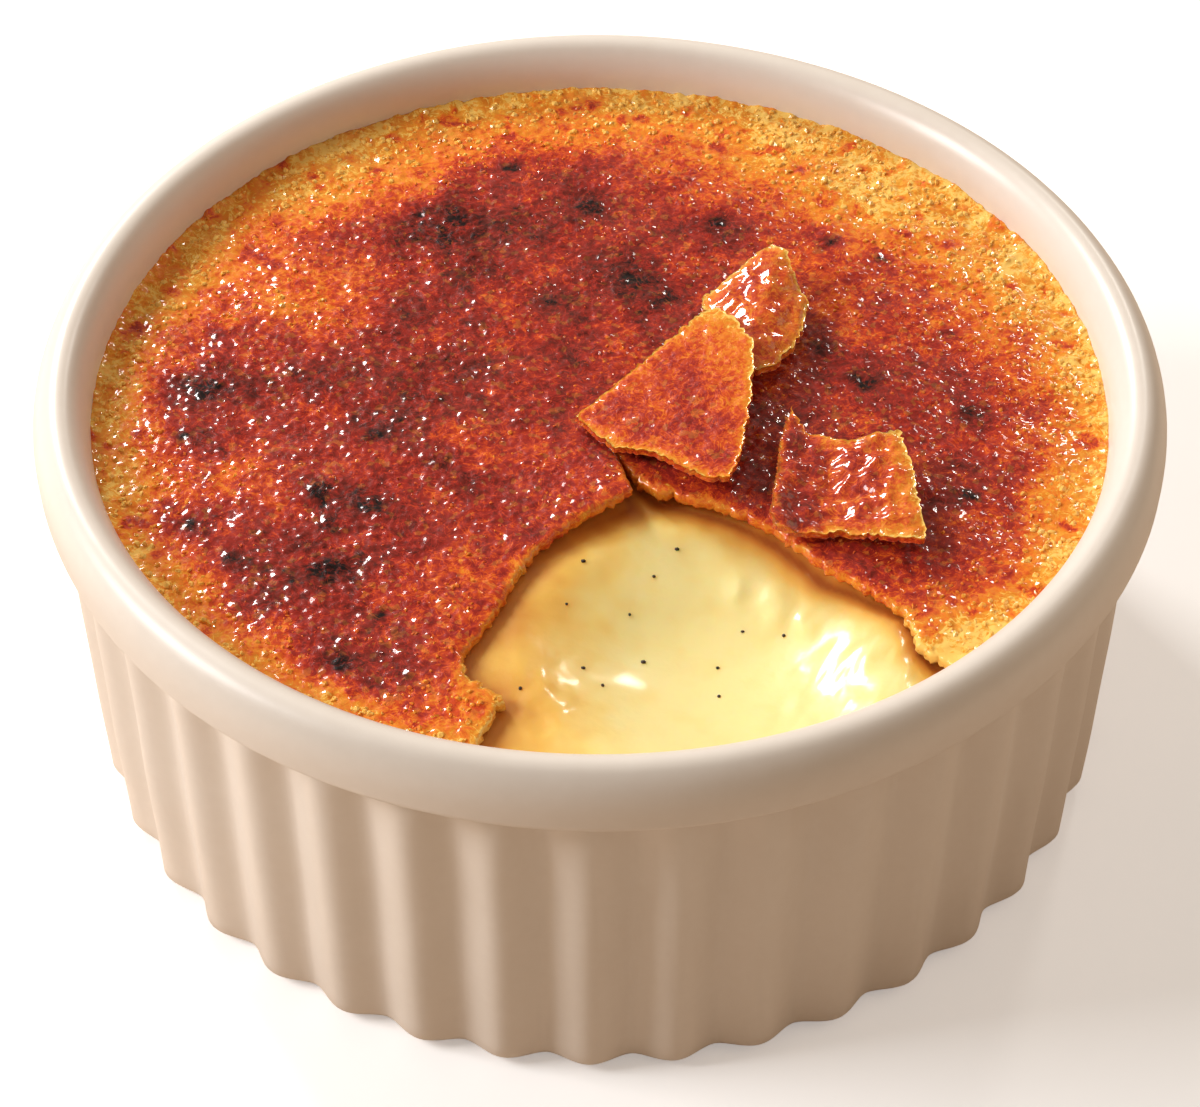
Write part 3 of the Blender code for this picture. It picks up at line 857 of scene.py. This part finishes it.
# Each shard's outline, how it lies, how lumpy and how burnt it is, and how glassy its skin is.
shards = {
    "front": (
        [
            (-2.1, -4.5), (1.8, -0.7), (5.4, 3.0), (9.1, 6.7), (10.7, 7.2), (12.3, 5.2), (13.7, 2.4),
            (13.6, -1.1), (12.9, -6.4), (12.2, -10.8), (11.1, -13.7), (9.2, -13.4), (7.1, -11.9),
            (4.9, -9.9), (2.6, -9.1), (1.1, -8.6),
        ],
        front_lean, 0.11, 0.57, 0.45,
    ),
    "back": (
        [
            (9.4, 11.4), (11.3, 12.8), (13.4, 14.4), (15.0, 15.8), (15.9, 16.1), (17.2, 15.1), (17.7, 13.3),
            (18.2, 11.4), (19.1, 9.7), (18.7, 7.8), (18.1, 5.8), (17.4, 4.1), (16.6, 3.4), (15.8, 1.9),
            (14.0, 0.8), (10.6, 3.6),
        ],
        back_fold, 0.26, 0.46, 1.0,
    ),
    "right": (
        [
            (16.9, -4.2), (17.3, -5.7), (18.0, -7.2), (19.7, -8.0), (21.5, -9.0), (23.7, -8.7),
            (26.0, -8.5), (26.7, -13.1), (27.3, -19.6), (27.1, -21.0), (25.6, -20.7), (23.6, -20.0),
            (20.3, -18.9), (16.8, -19.2), (14.8, -19.0), (14.3, -17.4), (15.0, -13.5), (15.5, -10.2),
            (15.8, -8.2),
        ],
        right_curl, 0.38, 0.52, 1.0,
    ),
}
for number, (side, (corners, lean, lumpiness, burn_and_shade, coat)) in enumerate(shards.items()):
    outline = broken_line(corners + [corners[0]], 0.30, 0.09, 20 + number)[:-1]
    low, high = outline.min(0), outline.max(0)
    inner = hex_points(low, high, shard_step)
    inner = inner[inside_outline(inner, outline)]
    away = edge_distance(inner, outline, closed=True)
    flat, faces, border = triangulated(outline, inner[away > 0.16])
    away = edge_distance(flat, outline, closed=True)
    relief = lumpiness * waves(flat, 1.6, 90.0 + number, 2)
    relief += 0.08 * (grains(flat, 0.7, 6.0 + number) - 0.5)
    base = crust_top + lean(flat)
    height = base + shard_thickness + relief - 0.12 * np.exp(-away / 0.25)
    top = np.column_stack([flat, height])
    edge = np.array(border)
    outward = outward_from(flat, edge)
    draw = np.random.default_rng(30 + number)
    side_rows = []
    for share, bulge in shard_side:
        push = bulge + draw.normal(0.0, 0.05, len(edge))
        level = height[edge] * (1 - share) + base[edge] * share
        side_rows.append(np.column_stack([flat[edge] + outward * push[:, None], level]))
    # Its underside is the same sheet turned over, with softer lumps.
    points = [top] + side_rows + [np.column_stack([flat, base + 0.3 * relief])]
    shard_faces = [tuple(f) for f in faces]
    lowest = side_wall(shard_faces, border, len(flat), len(side_rows))
    under = len(flat) + len(border) * len(side_rows)
    shard_faces += side_faces(lowest, [under + corner for corner in border])
    shard_faces += [tuple(under + corner for corner in reversed(f)) for f in faces]
    shard = mesh_piece("sugar_shard_" + side, np.concatenate(points), shard_faces)
    burnt_and_shaded = burn_and_shade + 0.14 * waves(flat, 3.0, 100.0 + number, 3) - 0.14 * np.exp(-away / 1.0)
    if side == "front":
        burnt_and_shaded -= 0.24 * step_between(flat[:, 0] * 0.8 + flat[:, 1] * 0.6, 4.0, 13.0)
    if side == "right":
        # Its left wing is painted darker: painted shade where that wing turns away from the lights.
        burnt_and_shaded += 0.20 * step_between(19.5 - flat[:, 0], -1.0, 3.0)
        burnt_and_shaded -= 0.12 * step_between(flat[:, 0], 23.0, 26.0)
    write_mask(shard, "toast_and_shade", np.clip(burnt_and_shaded, 0.0, 1.0))
    write_mask(shard, "broken", np.exp(-away / 0.25))
    skin = sugar_material("burnt_sugar_" + side, 0.5, Coat_Weight=coat, Coat_Roughness=0.07)
    shard.data.materials.append(skin)
    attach(shard, "root")
    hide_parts("shard_" + side)


# ------------------------------------------------------------------ vanilla seeds
# Seeds scraped from a vanilla pod show as black specks in the spooned custard. Each is a slightly
# flattened grain about 0.4 mm long that lies on the custard's surface.

seed_seat = 0.03
seed_places = [
    (-1.4, -20.0), (4.6, -20.5), (-2.8, -24.6), (2.5, -24.4), (12.0, -25.5), (15.4, -26.4),
    (-1.4, -31.0), (3.6, -29.0), (9.8, -29.2), (0.2, -32.6), (9.8, -32.6), (-6.5, -34.6),
    (6.6, -17.6), (-11.0, -29.0),
]
ball = bmesh.new()
bmesh.ops.create_icosphere(ball, subdivisions=1, radius=1.0)
ball_points = np.array([tuple(v.co) for v in ball.verts])
ball_faces = [[v.index for v in f.verts] for f in ball.faces]
ball.free()
draw = np.random.default_rng(5)
points, faces = [], []
spots = np.array(seed_places)
for (x, y), z in zip(spots, custard_surface(spots)):
    size = draw.uniform(0.14, 0.22)
    shape = np.array([size * draw.uniform(0.8, 1.3), size, size * 0.7])
    faces += [tuple(k + len(ball_points) * len(points) for k in f) for f in ball_faces]
    points.append(ball_points * shape + (x, y, z + seed_seat))
seeds = mesh_piece("vanilla_seeds", np.concatenate(points), faces)
pod, tree, shader = new_material("vanilla_seed", IOR=1.45)
place = add_node(tree, "ShaderNodeTexCoord").outputs["Object"]
mottle = noise_on(tree, place, 3000.0, 2.0)
husk = ramp(tree, mottle, [(0.35, (0.012, 0.006, 0.003)), (0.7, (0.06, 0.028, 0.012))])
tree.links.new(husk, shader.inputs["Base Color"])
seeds.data.materials.append(pod)
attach(seeds, "root")


# ------------------------------------------------------------------ stage
# A plain pale floor under a soft key light from the left. A narrower light at the back left and a
# small one at the back right make the sugar glint, a wide warm one stands at the right, and warm
# light comes from all round.

floor_half = 3.0
floor_level = -0.1 * MM
floor_corners = [
    (floor_half * x, floor_half * y, floor_level) for x, y in [(-1, -1), (1, -1), (1, 1), (-1, 1)]
]
floor_mesh = bpy.data.meshes.new("floor")
floor_mesh.from_pydata(floor_corners, [], [(0, 1, 2, 3)])
floor = bpy.data.objects.new("floor", floor_mesh)
bpy.context.scene.collection.objects.link(floor)
paper, tree, shader = new_material("pale_paper", Roughness=0.9)
place = add_node(tree, "ShaderNodeTexCoord").outputs["Object"]
clouds = noise_on(tree, place, 30.0, 3.0)
fibre = ramp(tree, clouds, [(0.3, (0.93, 0.925, 0.92)), (0.7, (0.96, 0.955, 0.95))])
# The camera sees it nearly white; what it throws up onto the dish is warmer.
seen = add_node(tree, "ShaderNodeLightPath").outputs["Is Camera Ray"]
tree.links.new(blend_colours(tree, seen, (0.75, 0.58, 0.44), fibre), shader.inputs["Base Color"])
shader.inputs["Emission Color"].default_value = (1.0, 0.985, 0.97, 1.0)
tree.links.new(maths(tree, "MULTIPLY", seen, 0.30), shader.inputs["Emission Strength"])
floor_mesh.materials.append(paper)


dish_middle = (0, 0, 0.03)


def soft_light(name, place, size, power, colour):
    """A rectangular area light at a place, turned towards the dish."""
    lamp = bpy.data.lights.new(name, "AREA")
    lamp.shape = "RECTANGLE"
    lamp.size, lamp.size_y = size
    lamp.energy = power
    lamp.color = colour
    made = bpy.data.objects.new(name, lamp)
    made.location = place
    made.rotation_euler = (Vector(dish_middle) - Vector(place)).to_track_quat("-Z", "Y").to_euler()
    bpy.context.scene.collection.objects.link(made)


soft_light("key", (-0.50, -0.035, 0.355), (0.24, 0.24), 2.9, (0.98, 0.985, 1.0))
soft_light("back", (-0.28, 0.42, 0.36), (0.12, 0.16), 2.2, (1.0, 0.99, 0.97))
soft_light("sparkle", (0.20, 0.44, 0.36), (0.055, 0.055), 0.33, (1.0, 0.96, 0.90))
soft_light("right", (0.50, 0.05, 0.30), (0.40, 0.40), 0.50, (1.0, 0.84, 0.68))

world = bpy.data.worlds.new("studio")
world.use_nodes = True
world.node_tree.nodes["Background"].inputs["Color"].default_value = (1.0, 0.79, 0.60, 1.0)
world.node_tree.nodes["Background"].inputs["Strength"].default_value = 0.26
bpy.context.scene.world = world
bpy.context.scene.view_settings.view_transform = "Standard"

lens = bpy.data.cameras.new("camera")
lens.lens = 87.52
lens.sensor_width = 36.0
lens.shift_x = 0.0095
camera = bpy.data.objects.new("camera", lens)
camera.location = (-0.000955, -0.1940, 0.2102)
looking_down = 45.125
camera.rotation_euler = (math.radians(90.0 - looking_down), 0.0, 0.0)
bpy.context.scene.collection.objects.link(camera)
bpy.context.scene.camera = camera
